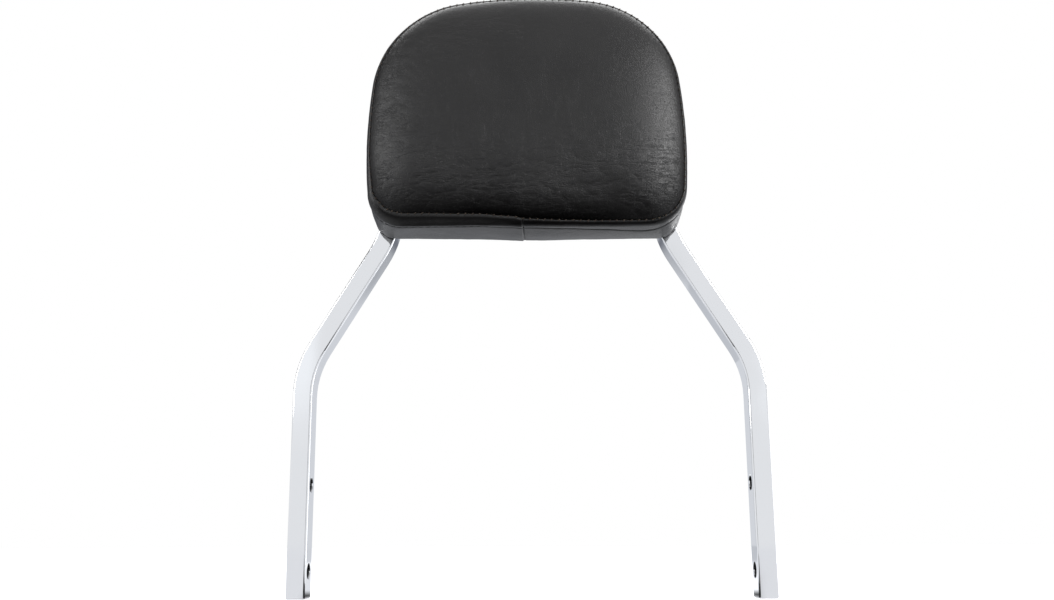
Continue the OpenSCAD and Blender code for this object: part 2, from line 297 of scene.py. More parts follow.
def vinyl_material():
    material, n = new_material("grained_black_vinyl")
    place = object_place(n)
    warp = n.add("ShaderNodeTexNoise", {"Vector": place, "Scale": WARP_SCALE, "Detail": WARP_DETAIL})
    shifted = n.add("ShaderNodeVectorMath", {0: warp.outputs["Color"], "Scale": WARP_REACH},
                    operation="SCALE")
    moved = n.add("ShaderNodeVectorMath", {0: place, 1: shifted.outputs[0]}, operation="ADD").outputs[0]
    cells = n.add("ShaderNodeTexVoronoi", {"Vector": moved, "Scale": PEBBLE_SCALE},
                  feature="DISTANCE_TO_EDGE").outputs["Distance"]
    pebble = n.remap(cells, 0.0, PEBBLE_EDGE)
    pores = n.noise(place, *PORES)
    height = n.math("ADD", n.math("MULTIPLY", pebble, PEBBLE_SHARE), n.math("MULTIPLY", pores, PORE_SHARE))
    normal = n.bump(height, GRAIN_STRENGTH, GRAIN_DEEP)
    for name, stretch in CREASE_STRETCH.items():
        along_fold = n.add("ShaderNodeVectorMath", {0: moved, 1: stretch}, operation="MULTIPLY").outputs[0]
        share = n.add("ShaderNodeAttribute", attribute_name=name).outputs["Fac"]
        patchy = n.remap(n.noise(place, *CREASE_PATCHES), *PATCH_RANGE, PATCH_LEAST, 1.0)
        share = n.math("MULTIPLY", share, patchy)
        for scale, width, deep in CREASE_SIZES:
            fold = n.noise(along_fold, scale, *CREASE_NOISE)
            valley = n.remap(n.math("ABSOLUTE", n.math("SUBTRACT", fold, 0.5)), 0.0, width)
            crease = n.math("MULTIPLY", n.math("SUBTRACT", valley, 1.0), share)
            normal = n.bump(crease, CREASE_STRENGTH, deep, normal)
    tone = n.noise(place, *VINYL_TONE)
    gloss = n.math("ADD", n.math("MULTIPLY", tone, GLOSS_SHARE), n.math("MULTIPLY", pores, GLOSS_SHARE))
    # Painted shade: the attribute darkens the colour and takes away the gloss where the vinyl lies in shade
    tucked = n.add("ShaderNodeAttribute", attribute_name="tucked").outputs["Fac"]
    colour = n.mix(n.remap(tone, *NOISE_MIDDLE), VINYL_DARK, VINYL_LIGHT)
    shader = n.add("ShaderNodeBsdfPrincipled", {
        "Base Color": n.mix(tucked, colour, VINYL_PAINTED_SHADE),
        "Roughness": n.remap(gloss, *GLOSS_RANGE, *VINYL_ROUGH),
        "Specular IOR Level": n.math("MULTIPLY", n.math("SUBTRACT", 1.0, tucked), VINYL_SPECULAR),
        "Normal": normal})
    finish_material(n, shader)
    return material


def foam_material():
    material, n = new_material("open_cell_foam")
    place = object_place(n)
    cells = n.add("ShaderNodeTexVoronoi", {"Vector": place, "Scale": FOAM_CELLS}).outputs["Distance"]
    shader = n.add("ShaderNodeBsdfPrincipled", {
        "Base Color": n.mix(n.noise(place, *FOAM_TONE), FOAM_DARK, FOAM_LIGHT),
        "Roughness": FOAM_ROUGH, "Normal": n.bump(cells, *FOAM_BUMP)})
    finish_material(n, shader)
    return material


def thread_material(name, dark, light, shine):
    material, n = new_material(name)
    place = object_place(n)
    twist = n.add("ShaderNodeTexWave", {"Vector": place, "Scale": THREAD_TWIST, "Distortion": THREAD_BEND},
                  bands_direction="DIAGONAL").outputs["Fac"]
    shader = n.add("ShaderNodeBsdfPrincipled", {
        "Base Color": n.mix(twist, dark, light), "Roughness": THREAD_ROUGH, "Specular IOR Level": shine,
        "Normal": n.bump(twist, *THREAD_BUMP)})
    finish_material(n, shader)
    return material


# The pad's outline
def circles_meet(a, ra, b, rb):
    gap = np.linalg.norm(b - a)
    along = (ra ** 2 - rb ** 2 + gap ** 2) / (2 * gap)
    across = math.sqrt(ra ** 2 - along ** 2)
    ahead = (b - a) / gap
    side = np.array([ahead[1], -ahead[0]])
    return max((a + ahead * along + side * across, a + ahead * along - side * across), key=lambda p: p[1])


def heading(a, b):
    return math.atan2(b[1] - a[1], b[0] - a[0])


# How finely the outline is divided: evenly near the joint at the bottom's middle, then so many steps for the
# rest of the bottom and for each arc
JOINT_STEPS = 15
JOINT_SPACING = 0.35
STRAIGHT_STEPS = 51
CORNER_STEPS = 46
SIDE_STEPS = 74
SHOULDER_STEPS = 56
TOP_STEPS = 44


def pad_outline(corner_r):
    """Points and outward directions round the pad, from the bottom's middle by way of the right side."""
    top_centre = np.array([0, PAD_TOP - PAD_TOP_R])
    side_centre = np.array([PAD_W / 2 - PAD_SIDE_R, PAD_BOTTOM + PAD_WAIST_UP])
    shoulder = circles_meet(top_centre, PAD_TOP_R - PAD_SHOULDER_R, side_centre, PAD_SIDE_R - PAD_SHOULDER_R)
    corner_z = PAD_BOTTOM + corner_r
    corner_x = side_centre[0] + math.sqrt((PAD_SIDE_R - corner_r) ** 2 - (corner_z - side_centre[1]) ** 2)
    corner = np.array([corner_x, corner_z])
    low, high = heading(side_centre, corner), heading(side_centre, shoulder)
    upper = heading(top_centre, shoulder)
    arcs = [(corner, corner_r, -math.pi / 2, low, CORNER_STEPS),
            (side_centre, PAD_SIDE_R, low, high, SIDE_STEPS),
            (shoulder, PAD_SHOULDER_R, high, upper, SHOULDER_STEPS),
            (top_centre, PAD_TOP_R, upper, math.pi / 2, TOP_STEPS)]
    points, outward = [], []
    joint_end = JOINT_STEPS * JOINT_SPACING
    straight = [k * JOINT_SPACING for k in range(JOINT_STEPS)]
    straight += [joint_end + (corner_x - joint_end) * k / STRAIGHT_STEPS for k in range(STRAIGHT_STEPS)]
    for x in straight:
        points.append((x, PAD_BOTTOM))
        outward.append((0, -1))
    for centre, radius, first, last, steps in arcs:
        for k in range(steps):
            angle = first + (last - first) * k / steps
            ray = np.array([math.cos(angle), math.sin(angle)])
            points.append(centre + radius * ray)
            outward.append(ray)
    points.append((0, PAD_TOP))
    outward.append((0, 1))
    right, ahead = np.array(points, float), np.array(outward, float)
    flip = np.array([-1, 1])
    return np.vstack([right, right[-2:0:-1] * flip]), np.vstack([ahead, ahead[-2:0:-1] * flip])


back_line, back_outward = pad_outline(BACK_CORNER_R)
front_line, front_outward = pad_outline(FRONT_CORNER_R)
AROUND = len(front_line)
steps = np.linalg.norm(np.roll(front_line, -1, axis=0) - front_line, axis=1)
along = np.concatenate([[0], np.cumsum(steps)[:-1]])
GIRTH = steps.sum()

# How the sewn seams wander: place along the girth as a share of it, counted from the bottom's middle to the
# right, with the front seam's distance from the edge, its setback, the top-stitched row's Y and how far the
# band between the two puffs out
SEAM_STATIONS = [
    (0.000, 3.0, 0.8, -40.0, 0.9),
    (0.040, 2.0, 1.6, -37.5, 1.3),
    (0.070, 1.6, 2.2, -35.0, 1.5),
    (0.110, 1.4, 2.2, -31.0, 1.5),
    (0.145, 1.8, 0.8, -37.0, 0.9),
    (0.190, 1.6, 0.0, -37.0, 0.5),
    (0.300, 1.4, 0.0, -37.5, 0.4),
    (0.500, 0.9, 0.0, -37.5, 0.4),
    (0.650, 1.8, 0.0, -38.0, 0.4),
    (0.780, 2.0, 0.0, -38.0, 0.5),
    (0.815, 3.2, 0.0, -39.5, 0.5),
    (0.845, 6.2, 0.0, -42.0, 0.5),
    (0.868, 7.6, 0.0, -43.5, 0.5),
    (0.893, 7.4, 0.0, -44.2, 0.5),
    (0.950, 6.5, 0.0, -44.2, 0.5),
    (0.983, 4.8, 0.2, -42.0, 0.7),
]


def wander(column):
    """A smooth closed curve through one column of the seam's stations, at each point of the outline."""
    where = np.array([s[0] for s in SEAM_STATIONS] + [1 + SEAM_STATIONS[0][0]])
    value = np.array([s[column] for s in SEAM_STATIONS] + [SEAM_STATIONS[0][column]])
    share = along / GIRTH
    k = np.clip(np.searchsorted(where, share, side="right") - 1, 0, len(where) - 2)
    t = (share - where[k]) / (where[k + 1] - where[k])
    return value[k] + (value[k + 1] - value[k]) * (t * t * (3 - 2 * t))


seam_inset = wander(1)
seam_y = SEAM_Y + wander(2)
row_y = wander(3)
band_puff = wander(4)


def outline_at(y, offset):
    """The outline moved outwards by an offset at each point, where y gives the blend from front to back."""
    y = np.broadcast_to(y, (AROUND,))
    offset = np.broadcast_to(offset, (AROUND,))
    back = np.clip((y - SEAM_Y) / (BACK_Y - SEAM_Y), 0, 1)[:, None]
    line = front_line * (1 - back) + back_line * back
    away = front_outward * (1 - back) + back_outward * back
    away = away / np.linalg.norm(away, axis=1)[:, None]
    flat = line + away * offset[:, None]
    return np.column_stack([flat[:, 0], y, flat[:, 1]])


def mesh_object(name, points, faces):
    mesh = bpy.data.meshes.new(name)
    mesh.from_pydata((np.asarray(points) * MM).tolist(), [], faces)
    mesh.validate()
    shell = bmesh.new()
    shell.from_mesh(mesh)
    bmesh.ops.recalc_face_normals(shell, faces=shell.faces)
    shell.to_mesh(mesh)
    shell.free()
    mesh.shade_smooth()
    piece = bpy.data.objects.new(name, mesh)
    bpy.context.scene.collection.objects.link(piece)
    return piece


def ring_faces(rings, around, closed):
    """Quads between rings of points, and from the last ring back to the first if closed."""
    faces = []
    for r in range(rings if closed else rings - 1):
        a, b = r * around, (r + 1) % rings * around
        faces += [(a + k, b + k, b + (k + 1) % around, a + (k + 1) % around) for k in range(around)]
    return faces


def dress(piece, material):
    piece.data.materials.clear()
    piece.data.materials.append(material)
    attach(piece, "root")
    return piece


# The boxing: the strip round the pad's side. From front to back it has the lip at the seam, the rolled edge,
# the band, the dip of the top-stitched row, the wall, the turn at the back and the hem.
LIP_RISE = 0.8
LIP_T = 0.1
ROLL_DEEP = 5.0
ROLL_SHARE = 0.6
BAND_EASE = 1.4
BAND_FALL = 1.5
ROW_DIP = 0.5
ROW_DIP_W = 0.9
WALL_PUFF = 0.5
WALL_EASE = 1.8
BACK_R = 2.6
# How many rings of points each of them has
LIP_RINGS = 6
ROLL_RINGS = 14
BAND_RINGS = 14
WALL_RINGS = 18
TURN_RINGS = 7
HEM_RINGS = 9


def boxing_profile():
    """Rings of (offset, y): from the groove over the rolled edge, back along the side and in at the hem."""
    rings = []
    inset = seam_inset
    flat = 0 * seam_y
    for k in range(LIP_RINGS):
        angle = math.pi / 2 * k / LIP_RINGS
        rings.append((-inset - LIP_W * math.cos(angle), seam_y + GROOVE_DEEP * (1 - math.sin(angle))))
    roll = np.minimum(ROLL_DEEP, ROLL_SHARE * (row_y - seam_y))
    for k in range(ROLL_RINGS):
        angle = math.pi / 2 * k / ROLL_RINGS
        rings.append((-inset + (inset + band_puff) * math.sin(angle), seam_y + roll * (1 - math.cos(angle))))
    start = seam_y + roll
    for k in range(BAND_RINGS):
        t = 1 - (1 - k / BAND_RINGS) ** BAND_EASE
        y = start + (row_y - start) * t
        dip = ROW_DIP * np.exp(-((y - row_y) / ROW_DIP_W) ** 2)
        rings.append((band_puff * (1 - t ** BAND_FALL) - dip, y))
    end = BACK_Y - BACK_R
    for k in range(WALL_RINGS):
        t = (k / WALL_RINGS) ** WALL_EASE
        y = row_y + (end - row_y) * t
        dip = ROW_DIP * np.exp(-((y - row_y) / ROW_DIP_W) ** 2)
        rings.append((WALL_PUFF * math.sin(math.pi * t) - dip, y))
    for k in range(TURN_RINGS):
        angle = math.pi / 2 * k / TURN_RINGS
        rings.append((-BACK_R + BACK_R * math.cos(angle), end + BACK_R * math.sin(angle)))
    for k in range(HEM_RINGS):
        t = k / (HEM_RINGS - 1)
        rings.append((-BACK_R - (HEM_W - BACK_R) * t, BACK_Y + flat))
    rings.append((-HEM_W + flat, BACK_Y - VINYL_T + flat))
    rings.append((-BACK_R - VINYL_T + flat, BACK_Y - VINYL_T + flat))
    rings.append((-VINYL_T - ROW_DIP + flat, end - VINYL_T + flat))
    rings.append((-VINYL_T - ROW_DIP + flat, row_y))
    rings.append((-inset - LIP_W - LIP_T, seam_y + GROOVE_DEEP + LIP_RISE))
    return rings


SEED_SKEW = 1.7


def wobble(place, size, seed):
    """Smooth noise from -1 to 1 at a point in millimetres."""
    return noise.noise(Vector(place) / size + Vector((seed, seed * SEED_SKEW, -seed)))


def lumps(place, layers):
    """Smooth noise in layers, each with its height and size in millimetres and its seed."""
    return sum(high * wobble(place, size, seed) for high, size, seed in layers)


def mark(piece, **shares):
    """Gives a piece's points named values that its material reads, such as how much it is creased."""
    for name, values in shares.items():
        data = np.zeros(len(piece.data.vertices), np.float32)
        data[:len(values)] = values
        piece.data.attributes.new(name, "FLOAT", "POINT").data.foreach_set("value", data)


# How far the bottom's back edge sags below the nominal line, from left to right, how quickly that ends where
# the edge turns up, and the shares of the side's depth over which it grows
SAG_X = (-90, -20, 0, 12, 35, 90)
SAG = (-1.5, 0.2, 1.0, 1.3, 0.9, 0.8)
SAG_POWER = 4
SAG_BACK = (0.15, 0.7)

# The painted shade of the band under the front edge: which way a place must face, where the joint parts
# left from right, how dark it is painted on each side and how it fades from the seam to the row and past it
SHADE_DOWN = (0.2, 0.75)
SHADE_PART = (-16, -6)
SHADE_SLOPE = 0.3
SHADE_LIP = (0.12, 0.26)
SHADE_LEFT = 0.76
SHADE_LEFT_FADE = (0.30, 0.75)
SHADE_RIGHT = 0.70
SHADE_RIGHT_LESS = 0.16
SHADE_PAST = 0.22
SHADE_PAST_RUN = 6
SHADE_MOST = 0.95
# The painted shade along the joint at the bottom
SHADE_JOINT = 0.9


def band_painted_shade(ring, offset, y):
    """How much painted shade one ring of the boxing gets under the front edge, from 0 to 1 at each point."""
    below = smooth_share(*SHADE_DOWN, -front_outward[:, 1])
    left = 1 - smooth_share(*SHADE_PART, front_line[:, 0])
    drop = offset + seam_inset + SHADE_SLOPE * (y - seam_y)
    share = np.clip(drop / (seam_inset + SHADE_SLOPE * (row_y - seam_y)), 0, 1)
    lip = smooth_share(*SHADE_LIP, share) if ring > LIP_RINGS else 0
    on_left = SHADE_LEFT * (1 - smooth_share(*SHADE_LEFT_FADE, share))
    on_right = SHADE_RIGHT - SHADE_RIGHT_LESS * share
    band = left * on_left + (1 - left) * on_right
    past = np.clip((y - row_y) / SHADE_PAST_RUN, 0, 1)
    shade = np.where(y < row_y, band * lip, SHADE_PAST * (1 - past) ** 2)
    return np.clip(below * shade, 0, SHADE_MOST)


# The joint at the bottom: where it lies at the front and the back, its width and dip, how much of the dip is
# lost towards the back, the step up to it, and how far from the bottom line still counts as the bottom
JOINT_FRONT_X = -2.7
JOINT_BACK_X = -1.3
JOINT_W = 0.40
JOINT_DIP = 0.9
JOINT_FADE = 0.7
JOINT_STEP = 0.5
STEP_RUN = 28
BOTTOM_MARGIN = 1
# The lower corners, by how far they face down and how high they reach, and the folds there
CORNER_DOWN = 0.62
CORNER_SPREAD = 0.18
CORNER_UP = 40
FOLD_LIFT = 0.5
FOLD_WAVE = 2.6
FOLD_MARGIN = 8
FOLD_SLANT = 0.09
# The lumps of the side, the pleats of the hem, and how creased the vinyl is there
SIDE_LUMPS = ((0.14, 11, 3.1), (0.07, 3.5, 7.7))
PLEAT_DEEP = 0.45
PLEAT_WAVE = 3.4
PLEAT_RINGS = 4
HEM_LIFT = 0.15
SIDE_CREASED = 0.15
CORNER_CREASED = 0.5


def make_boxing(material):
    rings, creased, tucked = [], [], []
    x = front_line[:, 0]
    at_bottom = front_line[:, 1] < PAD_BOTTOM + BOTTOM_MARGIN
    step_share = np.clip((x - JOINT_FRONT_X + STEP_RUN) / STEP_RUN, 0, 1) * (x < JOINT_FRONT_X)
    corner = np.exp(-((front_outward[:, 1] + CORNER_DOWN) / CORNER_SPREAD) ** 2)
    corner = corner * (front_line[:, 1] < PAD_BOTTOM + CORNER_UP)
    sag = np.interp(x, SAG_X, SAG) * np.clip(-front_outward[:, 1], 0, 1) ** SAG_POWER
    profile = boxing_profile()
    hem_start = LIP_RINGS + ROLL_RINGS + BAND_RINGS + WALL_RINGS + TURN_RINGS
    for j, (offset, y) in enumerate(profile):
        offset = np.array(np.broadcast_to(offset, (AROUND,)), float)
        y = np.array(np.broadcast_to(y, (AROUND,)), float)
        on_side = LIP_RINGS < j < hem_start
        if on_side:
            back_share = (y - SEAM_Y) / (BACK_Y - SEAM_Y)
            joint_x = JOINT_FRONT_X + (JOINT_BACK_X - JOINT_FRONT_X) * back_share
            joint = np.exp(-((x - joint_x) / JOINT_W) ** 2) * at_bottom
            offset -= JOINT_DIP * (1 - JOINT_FADE * back_share) * joint
            offset += JOINT_STEP * step_share * at_bottom + sag * smooth_share(*SAG_BACK, back_share)
            folded = smooth_share(SEAM_Y + FOLD_MARGIN, BACK_Y - FOLD_MARGIN, y)
            offset += FOLD_LIFT * corner * np.sin(along / FOLD_WAVE + y * FOLD_SLANT) * folded
        ring = outline_at(y, offset)
        if on_side:
            for k in range(AROUND):
                lift = lumps(ring[k], SIDE_LUMPS)
                ring[k, 0] += front_outward[k, 0] * lift
                ring[k, 2] += front_outward[k, 1] * lift
        if hem_start <= j < hem_start + HEM_RINGS:
            pleat = PLEAT_DEEP * np.sin(along / PLEAT_WAVE) * min(1, (j - hem_start) / PLEAT_RINGS)
            ring[:, 1] -= HEM_LIFT + np.abs(pleat)
        rings.append(ring)
        creased.append(SIDE_CREASED + CORNER_CREASED * corner)
        # Painted shade of the band and of the joint, which the vinyl shows as darker colour and less gloss
        tucked.append(np.maximum(band_painted_shade(j, offset, y), SHADE_JOINT * joint) if on_side else 0 * x)
    piece = mesh_object("pad_boxing", np.vstack(rings), ring_faces(len(rings), AROUND, True))
    mark(piece, creased_across=np.concatenate(creased), creased_up=np.concatenate(creased),
         tucked=np.concatenate(tucked))
    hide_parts("boxing")
    return dress(piece, material)


# The front panel: a crown over the foam, held down all round by the seam
PANEL_RINGS = 92
RING_CROWDING = 1.25
CROWN_POWER = 2.0
HELD_RUN = 6
# The painted shade along its bottom seam: at the seam, lost per millimetre from the edge, the heights and
# distances from the middle over which it fades, and how much of it is lost at the sides
PAINTED_SHADE_MOST = 0.95
PAINTED_SHADE_FADE = 0.054
PAINTED_SHADE_UP = (18, 60)
PAINTED_SHADE_ASIDE = (30, 80)
PAINTED_SHADE_LESS_ASIDE = 0.46
# Its slow lumps, and the low folds where it is creased across
PANEL_LUMPS = ((0.30, 38, 1.3), (0.08, 12, 4.1))
RIDGE_STRETCH = np.array([0.4, 0, 1.2])
RIDGE_SIZE = 5.5
RIDGE_SEED = 9.2
RIDGE_HIGH = 0.28
RIDGE_SHARP = 8
# Makes the soft depth equal to the true one beside a straight edge, and keeps it from nothing on the edge
SOFT_SCALE = 1.178
SOFT_LEAST = 0.5


def panel_edge():
    return outline_at(seam_y, -seam_inset - GROOVE_W)[:, [0, 2]]


def smooth_share(low, high, value):
    t = np.clip((value - low) / (high - low), 0, 1)
    return t * t * (3 - 2 * t)


def soft_depth(flat, edge):
    """The distance from the edge, rounded off where two sides of the edge are equally near.

    Each piece of the edge adds its length over the sixth power of its distance. Along a straight edge the sum
    falls with the fifth power, so its fifth root gives the depth back."""
    spans = np.linalg.norm(np.roll(edge, -1, axis=0) - edge, axis=1)
    total = np.zeros(len(flat))
    for spot, span in zip(edge, spans):
        total += span / (np.sum((flat - spot) ** 2, axis=1) + SOFT_LEAST ** 2) ** 3
    return (SOFT_SCALE / total) ** 0.2


# Where the panel is creased: low down, and in from its left and right edges. Heights are shares of the pad's
# height and depths are millimetres from the edge.
LOW_UP = (0.10, 0.46)
LEFT_DEPTH = (10, 55)
LEFT_START_UP = (0.12, 0.3)
LEFT_END_UP = (0.75, 0.95)
RIGHT_DEPTH = (10, 45)
RIGHT_END_UP = (0.5, 0.85)
MIDDLE_DEPTH = (25, 45)
# How much each place adds to the creases that run across and to those that run upwards
ACROSS = {"all": 0.13, "low": 0.72, "left": 0.9, "right": 0.12}
UPWARDS = {"all": 0.08, "middle": 0.12, "low": 0.22}


def crease_shares(x, z, depth):
    """How much the vinyl is creased across and upwards at a place, each from 0 to 1."""
    up = (z - PAD_BOTTOM) / (PAD_TOP - PAD_BOTTOM)
    low = 1 - smooth_share(*LOW_UP, up)
    left = (1 - smooth_share(*LEFT_DEPTH, depth)) * (x < 0)
    left = left * smooth_share(*LEFT_START_UP, up) * (1 - smooth_share(*LEFT_END_UP, up))
    right = (1 - smooth_share(*RIGHT_DEPTH, depth)) * (x > 0) * (1 - smooth_share(*RIGHT_END_UP, up))
    middle = smooth_share(*MIDDLE_DEPTH, depth)
    across = ACROSS["all"] + ACROSS["low"] * low + ACROSS["left"] * left + ACROSS["right"] * right
    upwards = UPWARDS["all"] + UPWARDS["middle"] * middle + UPWARDS["low"] * low
    return np.clip(across, 0, 1), np.clip(upwards, 0, 1)


# The cloth pass: the panel is blown up like a cushion, held at its seam
CLOTH_SKIP_RINGS = 3
CLOTH_SKIP_AROUND = 4
CLOTH_FRAMES = 20
CLOTH_PRESSURE = 4.0
CLOTH_SLACK = 0.02
CLOTH_MOST = 1.0
CLOTH_SMOOTHING = 12
CLOTH_LEFT_OUT = 6


def blown_up(points, rings, around):
    """How far each point of a grid of rings moves, in millimetres, when it is filled with air."""
    faces = [tuple(reversed(face)) for face in ring_faces(rings, around, False)]
    mesh = bpy.data.meshes.new("cloth_pass")
    mesh.from_pydata((points * MM).tolist(), [], faces)
    piece = bpy.data.objects.new("cloth_pass", mesh)
    scene = bpy.context.scene
    scene.collection.objects.link(piece)
    held = piece.vertex_groups.new(name="held")
    held.add(list(range(around)) + list(range((rings - 1) * around, rings * around)), 1.0, "REPLACE")
    cloth = piece.modifiers.new("cloth", "CLOTH")
    cloth.settings.vertex_group_mass = "held"
    cloth.settings.use_pressure = True
    cloth.settings.uniform_pressure_force = CLOTH_PRESSURE
    cloth.settings.shrink_min = -CLOTH_SLACK
    cloth.settings.effector_weights.gravity = 0
    cloth.collision_settings.use_collision = False
    cloth.point_cache.frame_start = 1
    cloth.point_cache.frame_end = CLOTH_FRAMES
    for step in range(1, CLOTH_FRAMES + 1):
        scene.frame_set(step)
    result = piece.evaluated_get(bpy.context.evaluated_depsgraph_get())
    after = np.array([v.co[:] for v in result.data.vertices]) / MM
    scene.frame_set(1)
    bpy.data.objects.remove(piece)
    bpy.data.meshes.remove(mesh)
    return after - points


def cloth_moves(points, rings, around):
    """The cloth pass on a thinned grid of rings, spread back over the whole grid and capped."""
    grid = points[:rings * around].reshape(rings, around, 3)
    kept_rings = list(range(0, rings - CLOTH_LEFT_OUT, CLOTH_SKIP_RINGS))
    kept = grid[kept_rings][:, ::CLOTH_SKIP_AROUND]
    moves = blown_up(kept.reshape(-1, 3), len(kept_rings), kept.shape[1])[:, 1].reshape(kept.shape[:2])
    print("cloth pass moved", round(float(moves.min()), 2), round(float(moves.max()), 2), "mm")
    for _ in range(CLOTH_SMOOTHING):
        moves = (np.roll(moves, 1, axis=1) + 2 * moves + np.roll(moves, -1, axis=1)) / 4
        inner = (moves[:-2] + 2 * moves[1:-1] + moves[2:]) / 4
        moves = np.vstack([moves[:1], inner, moves[-1:]])
    spots = np.arange(around) / CLOTH_SKIP_AROUND
    wrapped = np.column_stack([moves, moves[:, 0]])
    rows = np.array([np.interp(spots, np.arange(wrapped.shape[1]), row) for row in wrapped])
    full = np.array([np.interp(np.arange(rings), kept_rings, rows[:, k]) for k in range(around)]).T
    return full * min(1.0, CLOTH_MOST / max(1e-6, np.abs(full).max()))


# The panel's inner face follows every fourth ring of the outer one, and it comes nearer to it at the seam.
PANEL_SKIP = 4
PANEL_EDGE_T = 0.4


def panel_surface():
    """The panel's outer points from edge to middle, with how creased it is and its painted shade at each."""
    edge = panel_edge()
    tree = kdtree.KDTree(len(edge))
    for k, p in enumerate(edge):
        tree.insert((p[0], p[1], 0), k)
    tree.balance()
    base_y = seam_y + GROOVE_DEEP
    flat, start_y = [], []
    for r in range(PANEL_RINGS):
        share = (r / PANEL_RINGS) ** RING_CROWDING
        flat.append(MIDDLE + (edge - MIDDLE) * (1 - share))
        start_y.append(base_y * (1 - share) + (SEAM_Y + GROOVE_DEEP) * share)
    flat, start_y = np.vstack(flat), np.concatenate(start_y)
    depth = np.array([tree.find((p[0], p[1], 0))[2] for p in flat])
    inward = np.clip(soft_depth(flat, edge) / CROWN_EDGE, 0, 1)
    rise = (1 - (1 - inward) ** CROWN_POWER) ** (1 / CROWN_POWER)
    y = start_y + (CROWN_Y - CROWN_MORE - start_y) * rise
    points = np.column_stack([flat[:, 0], y, flat[:, 1]])
    held = np.clip(depth / HELD_RUN, 0, 1)
    points[:, 1] += held * cloth_moves(points, PANEL_RINGS, AROUND).ravel()
    across, upwards = crease_shares(flat[:, 0], flat[:, 1], depth)
    # Painted shade: darkest at the bottom seam, fading with depth from the edge, with height and to the sides
    near_bottom = 1 - smooth_share(PAD_BOTTOM + PAINTED_SHADE_UP[0], PAD_BOTTOM + PAINTED_SHADE_UP[1], flat[:, 1])
    aside = smooth_share(*PAINTED_SHADE_ASIDE, np.abs(flat[:, 0]))
    tucked = np.clip(PAINTED_SHADE_MOST - PAINTED_SHADE_FADE * depth, 0, 1) * near_bottom * (1 - PAINTED_SHADE_LESS_ASIDE * aside)
    for k, (x, z) in enumerate(flat):
        place = np.array([x, 0, z])
        valley = abs(wobble(place * RIDGE_STRETCH, RIDGE_SIZE, RIDGE_SEED))
        ridge = across[k] * RIDGE_HIGH * math.exp(-valley * RIDGE_SHARP)
        points[k, 1] += held[k] * (lumps(place, PANEL_LUMPS) + ridge)
    return points, across, upwards, tucked


def capped(points, faces, first, around, flip):
    """Closes the last ring of a shell with a fan round its middle point."""
    ring = points[first:first + around]
    fan = [(first + k, len(points), first + (k + 1) % around) for k in range(around)]
    faces += [face[::-1] for face in fan] if flip else fan
    return np.vstack([points, ring.mean(axis=0)[None, :]])


def make_front_panel(material, surface):
    points, across, upwards, tucked = surface
    faces = ring_faces(PANEL_RINGS, AROUND, False)
    points = capped(points, faces, (PANEL_RINGS - 1) * AROUND, AROUND, False)
    grid = surface[0].reshape(PANEL_RINGS, AROUND, 3)[::PANEL_SKIP]
    inner = grid + [0, VINYL_T, 0]
    inner[0] = grid[0] + [0, PANEL_EDGE_T, 0]
    start = len(points)
    points = np.vstack([points, inner.reshape(-1, 3)])
    faces += [tuple(start + v for v in face) for face in ring_faces(len(grid), AROUND, False)]
    points = capped(points, faces, start + (len(grid) - 1) * AROUND, AROUND, True)
    faces += [(k, start + k, start + (k + 1) % AROUND, (k + 1) % AROUND) for k in range(AROUND)]
    piece = mesh_object("pad_front_panel", points, faces)
    mark(piece, creased_across=across, creased_up=upwards, tucked=tucked)
    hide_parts("front_panel")
    return dress(piece, material)


# How far the foam keeps from the cover, and which of the panel's rings and points it follows
FOAM_GAP = 0.6
FOAM_SIDE_GAP = 1.4
FOAM_SHOULDER_GAP = 2.4
FOAM_SHOULDER_BACK = 6
FOAM_NARROWER = 2.0
FOAM_FIRST_RING = 12
FOAM_RING_SKIP = 6
FOAM_POINT_SKIP = 4


def make_foam(material, surface):
    """The foam block, which fills the cover from the base board to just under the panel."""
    grid = surface[0].reshape(PANEL_RINGS, AROUND, 3)[FOAM_FIRST_RING::FOAM_RING_SKIP, ::FOAM_POINT_SKIP]
    around = grid.shape[1]
    shrink = 1 - FOAM_NARROWER / (PAD_H / 2)
    crown = (grid - [0, 0, MIDDLE[1]]) * [shrink, 1, shrink] + [0, VINYL_T + FOAM_GAP, MIDDLE[1]]
    base_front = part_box("foam_core")[1].y / MM
    wall = outline_at(np.full(AROUND, base_front), -VINYL_T - ROW_DIP - FOAM_SIDE_GAP)[::FOAM_POINT_SKIP]
    shoulder = outline_at(SEAM_Y + FOAM_SHOULDER_BACK, -seam_inset - FOAM_SHOULDER_GAP)[::FOAM_POINT_SKIP]
    rings = [wall, shoulder] + list(crown)
    points = np.vstack(rings)
    faces = ring_faces(len(rings), around, False)
    points = capped(points, faces, (len(rings) - 1) * around, around, False)
    faces.append(tuple(range(around)))
    piece = mesh_object("pad_foam", points, faces)
    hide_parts("foam_core")
    return dress(piece, material)


# Stitches
THREAD_SIDES = 7
THREAD_TAPER = 0.4
THREAD_TILT = (0.3, 0.5, 0.81)
STITCH_SEED = 11
# A tick over the front seam: its radius, its play and slant along the seam, its arch, and how far out and
# back from the seam its outer end, top and inner end lie
TICK_R = 0.36
TICK_PLAY = 0.2
TICK_LEAN = (0.5, 0.9)
TICK_ARCH = 0.1
TICK_OUTER = (0.95, 0.1)
TICK_TOP = (-0.05, -0.55)
TICK_INNER = (-1.05, 0.4)
# A dash of the row: its radius, its start as a share of the pitch, its play in millimetres, its reach as a
# share of the pitch, the places along it that lie high, and how far its ends and its middle lie out of the
# row's dip
DASH_R = 0.60
DASH_START = 0.1
DASH_PLAY = 0.15
DASH_REACH = 0.70
DASH_SPOTS = (0.14, 0.38, 0.62, 0.86)
DASH_END = -0.35
DASH_MIDDLE = 0.22
